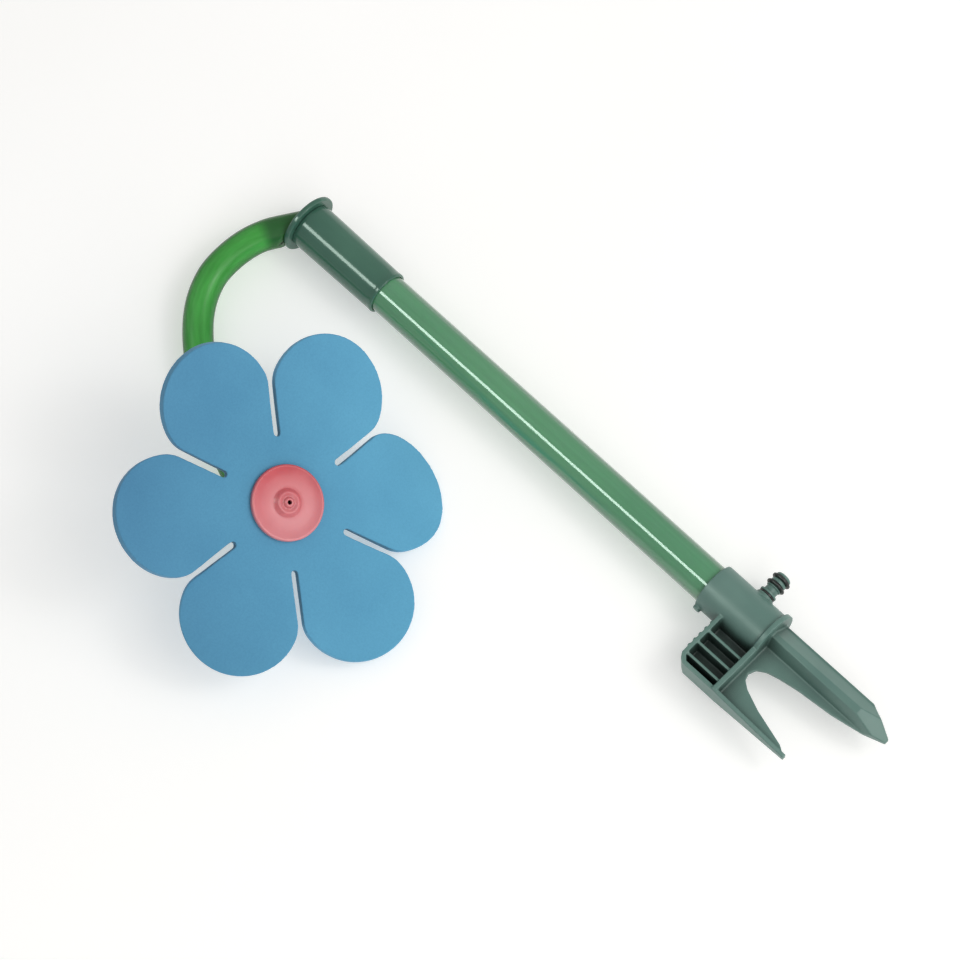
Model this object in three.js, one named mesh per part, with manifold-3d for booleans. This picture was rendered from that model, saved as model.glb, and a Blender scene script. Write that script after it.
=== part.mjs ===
// Garden sprinkler on a ground stake: a rigid riser, a swivel, an arched flexible hose
// and a six-petal foam flower that carries the outlet nozzle.
// Units are millimetres. +Z runs up the riser's axis. The origin is the tip of the main spike.
import * as THREE from 'three';
import { mergeVertices } from 'three/addons/utils/BufferGeometryUtils.js';
import Module from 'manifold-3d';

const wasm = await Module();
wasm.setup();

// ---- driving dimensions -------------------------------------------------------------------

const GAP = 0.3; // clearance between neighbouring pieces
const ROUND = 60; // facets round a large cylinder
const SMALL_ROUND = 20; // facets round a small cylinder

const STAKE = {
  groundZ: 88, // underside of the plate, which rests on the lawn
  plateThickness: 3.3,
  plateHalfDepth: 10.5,
  plateRadius: 17,
  outerX: -48, // outer face of the foot step
  wall: 2.6,
  webThickness: 3,
  spikeHalfWidth: 11.5,
  tipHalfWidth: 1.5,
  stepHalfDepth: 9.5,
  stepTopZ: 118.5,
  collarRadius: 15.2,
  collarTopZ: 135,
  knobRadius: 2.5, // small round boss beside the collar's mouth
  knobZ: 132.4,
  ridgeFootX: -6.4, // where the steep side of the spike's ridge starts
  webBack: 5, // how far the step's inner web lies behind the middle
};

const INLET = {
  z: 109,
  boreRadius: 2.2,
  spigotRadius: 3.5,
  neckRadius: 4.2,
  headRadius: 4.9,
  ringRadius: 6.3,
  tipX: 32.6,
};

const POLE = { outerRadius: 12.5, innerRadius: 10.3, bottomZ: 123.2, topZ: 436 };

const SOCKET = {
  bottomZ: 403.5,
  shelfZ: 468.5, // the shelf that the thrust washer lies on
  topZ: 469.7, // the lip round the washer
  bottomRadius: 14.1,
  topRadius: 14.8,
  lipInnerRadius: 13.8,
  shoulderZ: 442,
};

const SWIVEL = {
  spigotRadius: 9,
  boreRadius: 4.5,
  bottomZ: 437.5,
  flangeZ: 470,
  flangeTopZ: 473.5,
  flangeRadius: 19.5,
};

const HOSE = { outerRadius: 8.5, innerRadius: 6.2, barbRadius: 5.8, ballRadius: 9.2 };

const FLOWER = {
  centre: new THREE.Vector3(-142, -36, 338),
  droop: THREE.MathUtils.degToRad(30), // how far the face looks down
  turn: THREE.MathUtils.degToRad(10), // how far the face turns towards +X
  roll: THREE.MathUtils.degToRad(88.5), // direction of the first petal, in the face's plane
  petals: 6,
  lobeRadius: 35.3,
  lobeDistance: 69.7,
  thickness: 5,
  slotInnerRadius: 40.8,
  slotHalfWidth: 1.9,
};

const NOZZLE = { bossRadius: 7, boreRadius: 2.6, capRadius: 22.3, outletRadius: 1.3, stemLength: 15 };

// ---- shape tools ----------------------------------------------------------------------------

const V = (x, y, z) => new THREE.Vector3(x, y, z);

// A manifold-3d solid from a closed three.js geometry.
function solidOf(geometry) {
  const bare = geometry.clone();
  bare.deleteAttribute('normal');
  bare.deleteAttribute('uv');
  const merged = mergeVertices(bare, 1e-3);
  return new wasm.Manifold(new wasm.Mesh({
    numProp: 3,
    vertProperties: new Float32Array(merged.attributes.position.array),
    triVerts: new Uint32Array(merged.index.array),
  }));
}

function geometryOf(solid) {
  const mesh = solid.getMesh();
  const geometry = new THREE.BufferGeometry();
  geometry.setAttribute('position', new THREE.BufferAttribute(mesh.vertProperties, 3));
  geometry.setIndex(new THREE.BufferAttribute(mesh.triVerts, 1));
  geometry.computeVertexNormals();
  return geometry;
}

const join = (...solids) => solids.reduce((total, solid) => total.add(solid));

const cut = (solid, ...tools) => tools.reduce((total, tool) => total.subtract(tool), solid);

function boxSolid(x, y, z) {
  const geometry = new THREE.BoxGeometry(x[1] - x[0], y[1] - y[0], z[1] - z[0]);
  geometry.translate((x[0] + x[1]) / 2, (y[0] + y[1]) / 2, (z[0] + z[1]) / 2);
  return solidOf(geometry);
}

// A solid of revolution about Z from [radius, z] points. Going round the points keeps the
// material on the left.
function turned(points, facets = ROUND) {
  const profile = points.map(([radius, z]) => new THREE.Vector2(radius, z));
  return new THREE.LatheGeometry(profile, facets).rotateX(Math.PI / 2);
}

// A tube of rectangular section about Z.
function ring(inner, outer, bottom, top, facets = ROUND) {
  return turned([[inner, bottom], [outer, bottom], [outer, top], [inner, top], [inner, bottom]], facets);
}

// A full round bar about Z.
function bar(radius, bottom, top, facets = ROUND) {
  return turned([[0, bottom], [radius, bottom], [radius, top], [0, top]], facets);
}

// Turns a piece built about Z so that its axis lies along direction, starting at place.
function aim(geometry, place, direction) {
  const turn = new THREE.Quaternion().setFromUnitVectors(V(0, 0, 1), direction.clone().normalize());
  return geometry.applyQuaternion(turn).translate(place.x, place.y, place.z);
}

// A plate in the XZ plane, centred on Y = 0.
function plateXZ(points, thickness) {
  const outline = new THREE.Shape(points.map(([x, z]) => new THREE.Vector2(x, z)));
  const geometry = new THREE.ExtrudeGeometry(outline, { depth: thickness, bevelEnabled: false });
  return solidOf(geometry.rotateX(Math.PI / 2).translate(0, thickness / 2, 0));
}

// A plate in the YZ plane, from x = start, growing towards +X.
function plateYZ(points, start, thickness) {
  const outline = new THREE.Shape(points.map(([y, z]) => new THREE.Vector2(y, z)));
  const geometry = new THREE.ExtrudeGeometry(outline, { depth: thickness, bevelEnabled: false });
  const axes = new THREE.Matrix4().makeBasis(V(0, 1, 0), V(0, 0, 1), V(1, 0, 0));
  return solidOf(geometry.applyMatrix4(axes).translate(start, 0, 0));
}

// A bar along Z with the section given by [x, y] points.
function barXY(points, bottom, top) {
  const outline = new THREE.Shape(points.map(([x, y]) => new THREE.Vector2(x, y)));
  const geometry = new THREE.ExtrudeGeometry(outline, { depth: top - bottom, bevelEnabled: false });
  return solidOf(geometry.translate(0, 0, bottom));
}

function roundBarAlong(curve, radius, steps) {
  const section = new THREE.Shape().absarc(0, 0, radius, 0, 2 * Math.PI);
  const facets = SMALL_ROUND / 2;
  return solidOf(new THREE.ExtrudeGeometry(section, { steps, curveSegments: facets, extrudePath: curve }));
}

function makePiece(name, geometry, colour, roughness, metalness = 0) {
  const material = new THREE.MeshStandardMaterial({ color: colour, roughness, metalness });
  const piece = new THREE.Mesh(geometry, material);
  piece.name = name;
  return piece;
}

// ---- stake ------------------------------------------------------------------------------------

// The spike is a cross of two webs. The web in the XZ plane also makes the short second prong. A
// ridge runs down the spike's front: steep towards the prong, gentle towards the other edge, and
// cored out from behind.
function spikeWebs() {
  const ground = STAKE.groundZ;
  const right = STAKE.spikeHalfWidth;
  const tip = STAKE.tipHalfWidth;
  const flatWeb = [
    [tip, 0], [right, ground - 68], [right, ground + 1], [STAKE.outerX + 1, ground + 1],
    [STAKE.outerX + 1, ground - 52.5], [STAKE.outerX + 5, ground - 46], [-37, ground - 23.5],
    [-32, ground - 10.5], [-28.5, ground - 5.5], [-24.5, ground - 4.2], [-20, ground - 6],
    [-16.8, ground - 11], [-14.6, ground - 19], [-12.3, ground - 32], [-10, ground - 54.5],
    [-6, ground - 75], [-tip, 0],
  ];
  const half = STAKE.spikeHalfWidth - 1;
  const crossWeb = [
    [tip, 0], [half - 1, ground - 66], [half, ground + 1], [-half, ground + 1], [1 - half, ground - 66],
    [-tip, 0],
  ];
  const web = STAKE.webThickness / 2;
  const wide = 4 * right;
  const section = [[STAKE.ridgeFootX, 0], [-web, -half], [web, -half], [right, 0]];
  const wall = 3.2;
  const coreSection = [[web, web + 1], [web, wall - half], [right - wall, web], [right - wall, web + 1]];
  const ridge = barXY(section, 0, ground + 1)
    .intersect(plateXZ(flatWeb, wide))
    .intersect(plateYZ(crossWeb, -wide / 2, wide));
  const core = barXY(coreSection, ground - 66, ground - 2);
  return [
    cut(join(plateXZ(flatWeb, STAKE.webThickness), ridge), core),
    plateYZ(crossWeb, -web, STAKE.webThickness),
  ];
}

function footStep() {
  const ground = STAKE.groundZ;
  const top = STAKE.stepTopZ;
  const { outerX, wall, stepHalfDepth: depth } = STAKE;
  const corner = 5;
  const skin = [
    [-10, top], [outerX + corner, top], [outerX + 2, top - 2], [outerX, top - corner], [outerX, ground],
    [outerX + wall, ground], [outerX + wall, top - corner - 0.5], [outerX + 4.2, top - 4.2],
    [outerX + corner + 0.5, top - wall], [-10, top - wall],
  ];
  const prongFlange = [
    [2.5, ground - 52.5], [depth, ground + 1], [-depth, ground + 1], [-2.5, ground - 52.5],
  ];
  const innerWeb = [
    [outerX + 1, ground + 1], [outerX + 1, top - corner], [outerX + corner, top - 1], [-10, top - 1],
    [-10, ground + 1],
  ];
  const parts = [
    plateXZ(skin, 2 * depth),
    plateYZ(prongFlange, outerX, wall),
    plateXZ(innerWeb, 2).translate([0, STAKE.webBack, 0]),
  ];
  const ribX = [-23.3, -32.3, -41.2];
  for (const x of ribX) {
    parts.push(boxSolid([x - 0.9, x + 0.9], [-depth + 0.6, depth - 0.6], [ground + 1, top - 1]));
  }
  const gripX = [-18.5, -23.3, -28, -32.6, -37];
  for (const x of gripX) {
    parts.push(boxSolid([x - 0.8, x + 0.8], [-depth + 0.8, depth - 0.8], [top - 1, top + 0.9]));
  }
  return parts;
}

function makeStake() {
  const ground = STAKE.groundZ;
  const plateTop = ground + STAKE.plateThickness;
  const { plateHalfDepth: depth, plateRadius } = STAKE;
  const bossLength = 16.4;
  const body = join(
    boxSolid([STAKE.outerX + 0.5, 2], [-depth, depth], [ground, plateTop]),
    solidOf(bar(plateRadius, ground, plateTop)),
    solidOf(bar(STAKE.collarRadius, ground + 1, STAKE.collarTopZ)),
    solidOf(aim(bar(STAKE.knobRadius, 13.2, 17.2, SMALL_ROUND), V(0, 0, STAKE.knobZ), V(-1, 0, 0))),
    solidOf(aim(bar(6, 11, bossLength, SMALL_ROUND), V(0, 0, INLET.z), V(1, 0, 0))),
    ...spikeWebs(),
    ...footStep(),
  );
  const chamber = solidOf(bar(10, plateTop + 1.5, STAKE.collarTopZ + 1));
  const poleBore = solidOf(bar(POLE.outerRadius + GAP, POLE.bottomZ - 2.3, STAKE.collarTopZ + 1));
  const inletBore = solidOf(aim(
    bar(INLET.spigotRadius + GAP, 5, bossLength + 1, SMALL_ROUND), V(0, 0, INLET.z), V(1, 0, 0)));
  return makePiece('stake', geometryOf(cut(body, chamber, poleBore, inletBore)), 0x627f78, 0.45);
}

// ---- inlet ------------------------------------------------------------------------------------

function makeInlet() {
  const { boreRadius: bore, spigotRadius: spigot, neckRadius: neck, headRadius: head, tipX } = INLET;
  const shoulder = 5.6;
  const groove = 4.1;
  const nipple = turned([
    [bore, 10.8], [spigot, 10.8], [spigot, 17.9], [shoulder, 17.9], [shoulder, 19.1], [neck, 19.1],
    [neck, 22.3], [head, 22.8], [head, 23.4], [groove, 23.4], [groove, 26.2], [head, 26.2],
    [head, 28.1], [groove, 28.1], [groove, 30.9], [head, 30.9], [head, tipX - 0.8],
    [head - 0.8, tipX], [bore, tipX], [bore, 10.8],
  ], SMALL_ROUND);
  const ringSection = 1.05;
  const oRing = () => new THREE.TorusGeometry(INLET.ringRadius - ringSection, ringSection, 8, SMALL_ROUND);
  const place = V(0, 0, INLET.z);
  const along = V(1, 0, 0);
  const black = 0x2b312f;
  const gasket = aim(ring(spigot + GAP, 5.4, 16.7, 17.6, SMALL_ROUND), place, along);
  return [
    makePiece('inlet_nipple', aim(nipple, place, along), 0x627f78, 0.4),
    makePiece('inlet_gasket', gasket, black, 0.7),
    makePiece('inlet_o_ring_inner', aim(oRing(), V(24.8, 0, INLET.z), along), black, 0.5),
    makePiece('inlet_o_ring_outer', aim(oRing(), V(29.5, 0, INLET.z), along), black, 0.5),
  ];
}

// ---- riser ------------------------------------------------------------------------------------

function makeRiser() {
  const { outerRadius: outer, innerRadius: inner, bottomZ, topZ } = POLE;
  const seal = (bottom) => ring(inner + 0.2, outer - 0.1, bottom, bottom + 1.6);
  return [
    makePiece('riser_pole', ring(inner, outer, bottomZ, topZ), 0x4f9166, 0.2),
    makePiece('riser_lower_seal', seal(bottomZ - 1.9), 0x2b312f, 0.7),
    makePiece('riser_upper_seal', seal(topZ + GAP), 0x2b312f, 0.7),
  ];
}

function makeTopSocket() {
  const { bottomZ, shelfZ, topZ, bottomRadius, topRadius, lipInnerRadius, shoulderZ } = SOCKET;
  const poleBore = POLE.outerRadius + GAP;
  const bearing = SWIVEL.spigotRadius + GAP;
  const socket = turned([
    [poleBore, bottomZ], [bottomRadius - 0.5, bottomZ], [bottomRadius, bottomZ + 0.5], [topRadius, topZ],
    [lipInnerRadius, topZ], [lipInnerRadius, shelfZ], [bearing, shelfZ], [bearing, shoulderZ],
    [poleBore, shoulderZ], [poleBore, bottomZ],
  ]);
  return makePiece('top_socket', socket, 0x44695b, 0.3);
}

// ---- hose path --------------------------------------------------------------------------------

// The flower's face looks along this direction.
const faceNormal = V(
  Math.sin(FLOWER.turn) * Math.cos(FLOWER.droop),
  -Math.cos(FLOWER.turn) * Math.cos(FLOWER.droop),
  -Math.sin(FLOWER.droop),
);

const hoseRise = THREE.MathUtils.degToRad(33); // slope of the elbow's barb
const hoseLean = V(-Math.cos(hoseRise), 0, Math.sin(hoseRise));
const hoseRoot = V(-5.5, 0, SWIVEL.flangeTopZ); // where the barb's axis leaves the flange
const stemBack = FLOWER.thickness + 4.3; // from the flower's face back to the hose's end
const hoseEnd = FLOWER.centre.clone().addScaledVector(faceNormal, -stemBack);

// The hose leaves the barb straight, arches over, and arrives straight on the nozzle's stem.
function hosePoints() {
  const outwards = [-14, -7, 0, 6, 12, 18, 24];
  const straightOut = outwards.map((step) => hoseRoot.clone().addScaledVector(hoseLean, step));
  const arch = [
    V(-35.5, 1, 489.4), V(-45.5, 2, 491.2), V(-55.5, 3, 491.3), V(-66, 4, 489.6), V(-76, 5, 485.6),
    V(-86, 6.2, 479), V(-94, 7.3, 471.5), V(-102, 8.1, 462.3), V(-113, 8.8, 446.5), V(-125, 9, 425.5),
    V(-135, 8.8, 404), V(-142.5, 6.5, 382),
  ];
  const inwards = [24, 16, 8, 0];
  const straightIn = inwards.map((step) => hoseEnd.clone().addScaledVector(faceNormal, -step));
  return [...straightOut, ...arch, ...straightIn];
}

const hosePath = new THREE.CatmullRomCurve3(hosePoints());
const HOSE_STEPS = 72;
const BEND_STEP = 21; // the hinge across the arch sits on this step of the path
const hoseSpine = hosePath.getSpacedPoints(HOSE_STEPS);
const bendPoint = hoseSpine[BEND_STEP];

// ---- swivel -----------------------------------------------------------------------------------

function makeSwivelElbow() {
  const { spigotRadius: spigot, boreRadius: bore, bottomZ, flangeZ, flangeTopZ, flangeRadius } = SWIVEL;
  const ringGroove = 7.8;
  const sealGroove = 6.8;
  const core = turned([
    [0, bottomZ], [spigot - 0.5, bottomZ], [spigot, bottomZ + 0.6], [spigot, 439.4], [ringGroove, 439.4],
    [ringGroove, 441.8], [spigot, 441.8], [spigot, 450], [sealGroove, 450], [sealGroove, 452.6],
    [spigot, 452.6], [spigot, flangeZ], [flangeRadius - 0.5, flangeZ], [flangeRadius, flangeZ + 0.6],
    [flangeRadius, flangeTopZ - 1], [flangeRadius - 1, flangeTopZ], [0, flangeTopZ],
  ]);
  const barb = HOSE.barbRadius;
  const hoseBarb = turned([
    [0, -12], [barb - 0.5, -12], [barb - 0.5, 7], [barb, 7.5], [barb - 0.6, 11], [barb, 11.5],
    [barb - 0.6, 15], [barb, 15.5], [barb - 0.9, 20], [0, 20],
  ], SMALL_ROUND);
  const belowFlange = boxSolid([-30, 30], [-30, 30], [flangeZ - 30, flangeZ + 0.5]);
  const angledBarb = cut(solidOf(aim(hoseBarb, hoseRoot, hoseLean)), belowFlange);
  const turnPoint = hoseRoot.clone().addScaledVector(hoseLean, -hoseRoot.x / hoseLean.x);
  const upright = solidOf(bar(bore, bottomZ - 1, turnPoint.z, SMALL_ROUND));
  const leaning = solidOf(aim(bar(3.8, 0, 40, SMALL_ROUND), turnPoint, hoseLean));
  const elbow = cut(join(solidOf(core), angledBarb), upright, leaning);
  return makePiece('swivel_elbow', geometryOf(elbow), 0x44695b, 0.3);
}

function makeSwivelFittings() {
  const spigot = SWIVEL.spigotRadius;
  const oRing = new THREE.TorusGeometry(spigot - 0.9, 0.9, 8, ROUND).translate(0, 0, 451.3);
  const washerRadius = SOCKET.lipInnerRadius - GAP;
  const washer = ring(spigot + GAP, washerRadius, SOCKET.shelfZ + GAP, SWIVEL.flangeZ - GAP);
  return {
    thrustWasher: makePiece('thrust_washer', washer, 0xe6e6e0, 0.5),
    oRing: makePiece('swivel_o_ring', oRing, 0x2b312f, 0.5),
    retainingRing: makePiece('swivel_retaining_ring', snapRing(8.1, 11.4, 439.9, 441.5), 0xb9bec2, 0.3, 1),
  };
}

// An open snap ring about Z, with its gap towards +Y.
function snapRing(inner, outer, bottom, top) {
  const opening = boxSolid([-1.5, 1.5], [0, outer + 1], [bottom - 1, top + 1]);
  return geometryOf(cut(solidOf(ring(inner, outer, bottom, top)), opening));
}

// ---- hose -------------------------------------------------------------------------------------

// A curve through spine points, run on past either end by the given lengths.
function spineCurve(points, before, after) {
  const first = points[0].clone().sub(points[1]).setLength(1);
  const last = points.at(-1).clone().sub(points.at(-2)).setLength(1);
  const longer = [...points];
  if (before > 0) longer.unshift(points[0].clone().addScaledVector(first, before));
  if (after > 0) longer.push(points.at(-1).clone().addScaledVector(last, after));
  return new THREE.CatmullRomCurve3(longer);
}

function ballAt(place, radius) {
  return solidOf(new THREE.SphereGeometry(radius, SMALL_ROUND, 12).translate(place.x, place.y, place.z));
}

// The two lengths of hose meet in a ball and cup, so the hose can bend there. The lower end is
// trimmed to sit on the flange.
function makeHose() {
  const { outerRadius: outer, innerRadius: inner, ballRadius } = HOSE;
  const lower = hoseSpine.slice(0, BEND_STEP + 1);
  const flangeTop = SWIVEL.flangeTopZ + GAP;
  const upper = hoseSpine.slice(BEND_STEP);
  const lowerHose = cut(
    roundBarAlong(spineCurve(lower, 0, 0), outer, 9),
    ballAt(bendPoint, ballRadius + GAP),
    boxSolid([-30, 30], [-30, 30], [flangeTop - 30, flangeTop]),
    roundBarAlong(spineCurve(lower, 3, 3), inner, 9),
  );
  const upperHose = cut(
    join(roundBarAlong(spineCurve(upper, 0, 0), outer, 26), ballAt(bendPoint, ballRadius)),
    roundBarAlong(spineCurve(upper, 14, 3), inner, 26),
  );
  return {
    lower: makePiece('hose_lower', geometryOf(lowerHose), 0x3fa24a, 0.25),
    upper: makePiece('hose_upper', geometryOf(upperHose), 0x3fa24a, 0.25),
  };
}

// ---- flower head, built about its own +Z, with the face of the foam at z = 0 --------------------

// One petal: a round lobe that narrows towards the middle, and stays clear of its neighbours.
function petalOutline(angle) {
  const { lobeRadius, lobeDistance, slotHalfWidth, slotInnerRadius, petals } = FLOWER;
  const halfPitch = Math.PI / petals;
  const points = [];
  const arcSteps = 16;
  const reach = 1.97; // radians from the petal's axis to where the lobe's arc ends
  for (let step = 0; step <= arcSteps; step += 1) {
    const around = -reach + (2 * reach * step) / arcSteps;
    points.push([lobeDistance + lobeRadius * Math.cos(around), lobeRadius * Math.sin(around)]);
  }
  const rootX = slotInnerRadius * Math.cos(halfPitch) + slotHalfWidth * Math.sin(halfPitch);
  const rootY = slotInnerRadius * Math.sin(halfPitch) - slotHalfWidth * Math.cos(halfPitch);
  points.push([rootX, rootY], [10, 4], [10, -4], [rootX, -rootY]);
  const outline = new THREE.Shape(points.map(([x, y]) => new THREE.Vector2(x, y).rotateAround(
    new THREE.Vector2(0, 0), angle)));
  const geometry = new THREE.ExtrudeGeometry(outline, { depth: FLOWER.thickness, bevelEnabled: false });
  return solidOf(geometry.translate(0, 0, -FLOWER.thickness));
}

function makeFlower() {
  const { petals, thickness, roll, slotInnerRadius, slotHalfWidth, lobeRadius, lobeDistance } = FLOWER;
  let foam = solidOf(bar(slotInnerRadius + 1, -thickness, 0));
  const slotEnd = lobeDistance + lobeRadius;
  for (let index = 0; index < petals; index += 1) {
    foam = foam.add(petalOutline(roll + (index * 2 * Math.PI) / petals));
  }
  for (let index = 0; index < petals; index += 1) {
    const angle = roll + ((index + 0.5) * 2 * Math.PI) / petals;
    const slot = new THREE.BoxGeometry(slotEnd - slotInnerRadius, 2 * slotHalfWidth, 2 * thickness + 2);
    slot.translate((slotEnd + slotInnerRadius) / 2, 0, 0).rotateZ(angle);
    foam = foam.subtract(solidOf(slot));
    const end = bar(slotHalfWidth + 0.6, -thickness - 1, 1, 12);
    end.translate(slotInnerRadius * Math.cos(angle), slotInnerRadius * Math.sin(angle), 0);
    foam = foam.subtract(solidOf(end));
  }
  foam = foam.subtract(solidOf(bar(NOZZLE.bossRadius + GAP, -thickness - 1, 1, SMALL_ROUND)));
  return makePiece('flower', geometryOf(foam), 0x4f93bd, 0.9);
}

function makeNozzleStem() {
  const back = -FLOWER.thickness;
  const { bossRadius, boreRadius: bore, stemLength } = NOZZLE;
  const barb = HOSE.barbRadius;
  const hoseStop = -stemBack + GAP;
  const tail = -stemBack - stemLength;
  const stem = turned([
    [bore, tail], [barb - 0.9, tail], [barb, -stemBack - 9], [barb - 0.6, -stemBack - 8.5],
    [barb, -stemBack - 4], [barb - 0.5, -stemBack - 3.5], [barb - 0.5, hoseStop], [15, hoseStop],
    [15, back - 2.1], [bossRadius, back - 2.1], [bossRadius, 2], [bore, 2], [bore, tail],
  ], SMALL_ROUND);
  return makePiece('nozzle_stem', stem, 0x3f7a4c, 0.4);
}

function makeNozzleCap() {
  const { bossRadius, capRadius: rim, outletRadius: outlet } = NOZZLE;
  const skirt = bossRadius + GAP;
  const cap = turned([
    [outlet, 3.6], [skirt, 3.6], [skirt, 0.3], [rim - 0.8, 0.3], [rim, 1.1], [rim, 3.2], [rim - 0.4, 3.9],
    [rim - 1.2, 4.1], [rim - 2.2, 3.9], [15.5, 3.2], [11, 2.9], [8.4, 3.1], [7.3, 4.2], [6.6, 5.1],
    [5.7, 5.3], [4.9, 5], [4.1, 4.6], [3.3, 4.6], [2.9, 5.6], [2.3, 6.2], [outlet, 6.2], [outlet, 3.6],
  ]);
  return makePiece('nozzle_cap', cap, 0xdc7a7c, 0.35);
}

function makeFlowerHead() {
  const head = new THREE.Group();
  const back = -FLOWER.thickness;
  const { bossRadius, boreRadius } = NOZZLE;
  head.add(
    makeFlower(),
    makeNozzleStem(),
    makeNozzleCap(),
    makePiece('backing_washer', ring(bossRadius + GAP, 17, back - 1.8, back - GAP), 0xe6e6e0, 0.5),
    makePiece('nozzle_seal', ring(boreRadius, bossRadius - 0.4, 2.3, 3.3, SMALL_ROUND), 0x2b312f, 0.7),
  );
  const across = V(Math.cos(FLOWER.turn), Math.sin(FLOWER.turn), 0);
  const upwards = faceNormal.clone().cross(across);
  head.applyMatrix4(new THREE.Matrix4().makeBasis(across, upwards, faceNormal));
  head.position.copy(FLOWER.centre);
  return head;
}

// ---- assembly -----------------------------------------------------------------------------------

const hose = makeHose();
const fittings = makeSwivelFittings();

const riser = new THREE.Group();
riser.add(makeStake(), ...makeInlet(), ...makeRiser(), makeTopSocket(), fittings.thrustWasher);

const swivelHead = new THREE.Group();
swivelHead.add(makeSwivelElbow(), fittings.oRing, fittings.retainingRing, hose.lower);

const flowerHead = new THREE.Group();
flowerHead.add(hose.upper, makeFlowerHead());

const sprinkler = new THREE.Group();
sprinkler.add(riser, swivelHead, flowerHead);
sprinkler.updateMatrixWorld(true);

export default sprinkler;
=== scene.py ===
"""Looks for the flower hose sprinkler: fine meshes, procedural materials, studio light and camera.

Lengths are in metres unless a name ends in _MM or _mm. The object stands along +Z. The pale studio
surface that it rests on is upright, behind it, and the camera looks at it from the left and from below.
"""
import math

import bmesh
import bpy
from mathutils import Matrix, Vector
from mathutils.bvhtree import BVHTree


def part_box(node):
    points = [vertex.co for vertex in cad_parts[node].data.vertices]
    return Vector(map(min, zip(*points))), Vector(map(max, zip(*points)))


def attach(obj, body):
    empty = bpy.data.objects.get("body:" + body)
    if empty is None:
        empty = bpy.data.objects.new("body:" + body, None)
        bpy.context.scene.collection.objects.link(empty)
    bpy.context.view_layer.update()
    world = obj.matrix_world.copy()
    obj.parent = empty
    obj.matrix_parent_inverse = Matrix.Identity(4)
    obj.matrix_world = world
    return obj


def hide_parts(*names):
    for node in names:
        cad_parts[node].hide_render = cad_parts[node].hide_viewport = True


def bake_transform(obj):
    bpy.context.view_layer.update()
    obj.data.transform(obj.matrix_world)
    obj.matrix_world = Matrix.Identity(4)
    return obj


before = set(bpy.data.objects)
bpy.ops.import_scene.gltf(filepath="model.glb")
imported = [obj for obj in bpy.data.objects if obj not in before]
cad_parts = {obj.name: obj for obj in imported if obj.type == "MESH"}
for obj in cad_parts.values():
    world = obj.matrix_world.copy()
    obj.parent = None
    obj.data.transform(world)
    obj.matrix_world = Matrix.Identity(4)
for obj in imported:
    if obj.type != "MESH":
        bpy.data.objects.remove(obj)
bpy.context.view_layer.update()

MM = 0.001
GAP_MM = 0.3  # the gap that the CAD pieces keep between their faces

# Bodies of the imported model.
BASE = "stake_and_riser"
SWIVEL = "swivel_head"
HEAD = "flower_head"


# ---- places and sizes read from the frame ------------------------------------------------------

def node_points(node):
    return [vertex.co.copy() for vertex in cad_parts[node].data.vertices]


def middle_of(node):
    low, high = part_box(node)
    return (low + high) / 2


def height_along(node, direction):
    """How far the node reaches along direction, from the frame's origin."""
    return max(point.dot(direction) for point in node_points(node))


def widest_normal(node):
    """The normal of the node's widest flat face, turned to look towards the camera's side, -Y."""
    normal = max(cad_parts[node].data.polygons, key=lambda face: face.area).normal
    return -normal if normal.y > 0 else normal.copy()


def axes_matrix(across, upwards, normal, place):
    matrix = Matrix((across, upwards, normal)).transposed().to_4x4()
    matrix.translation = place
    return matrix


FACE_NORMAL = widest_normal("flower")
FACE_ACROSS = Vector((0, 0, 1)).cross(FACE_NORMAL).normalized()
FACE_UP = FACE_NORMAL.cross(FACE_ACROSS)
WASHER_CENTRE = middle_of("backing_washer")
FACE_LEVEL = height_along("flower", FACE_NORMAL)
FACE_CENTRE = WASHER_CENTRE + FACE_NORMAL * (FACE_LEVEL - WASHER_CENTRE.dot(FACE_NORMAL))
FACE = axes_matrix(FACE_ACROSS, FACE_UP, FACE_NORMAL, FACE_CENTRE)
FOAM_THICKNESS_MM = (FACE_LEVEL + height_along("flower", -FACE_NORMAL)) / MM


# ---- mesh tools ------------------------------------------------------------------------------

def add_object(name, mesh, material):
    piece = bpy.data.objects.new(name, mesh)
    bpy.context.scene.collection.objects.link(piece)
    piece.data.materials.clear()
    piece.data.materials.append(material)
    return piece


def apply_modifiers(piece):
    depsgraph = bpy.context.evaluated_depsgraph_get()
    mesh = bpy.data.meshes.new_from_object(piece.evaluated_get(depsgraph))
    old = piece.data
    piece.modifiers.clear()
    piece.data = mesh
    bpy.data.meshes.remove(old)


def smooth_shade(mesh):
    mesh.polygons.foreach_set("use_smooth", [True] * len(mesh.polygons))


def settle(piece, body, *nodes):
    """Gives a finished piece its body and hides the CAD nodes it stands for."""
    smooth_shade(piece.data)
    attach(piece, body)
    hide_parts(*nodes)


def voxel_skin(piece, voxel_mm, passes):
    """Rebuilds the piece as one skin of small cells and relaxes it, which rounds its edges softly."""
    weld = piece.modifiers.new("weld", "WELD")
    weld.merge_threshold = 0.01 * MM
    remesh = piece.modifiers.new("voxels", "REMESH")
    remesh.mode = "VOXEL"
    remesh.voxel_size = voxel_mm * MM
    remesh.adaptivity = 0.0
    relax = piece.modifiers.new("relax", "SMOOTH")
    relax.factor = 0.5
    relax.iterations = passes
    apply_modifiers(piece)


def skinned(name, mesh, material, voxel_mm, passes):
    """A piece rebuilt by voxel_skin. The rebuilt mesh carries no material, so it is set once more."""
    piece = add_object(name, mesh, material)
    voxel_skin(piece, voxel_mm, passes)
    piece.data.materials.clear()
    piece.data.materials.append(material)
    return piece


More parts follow.
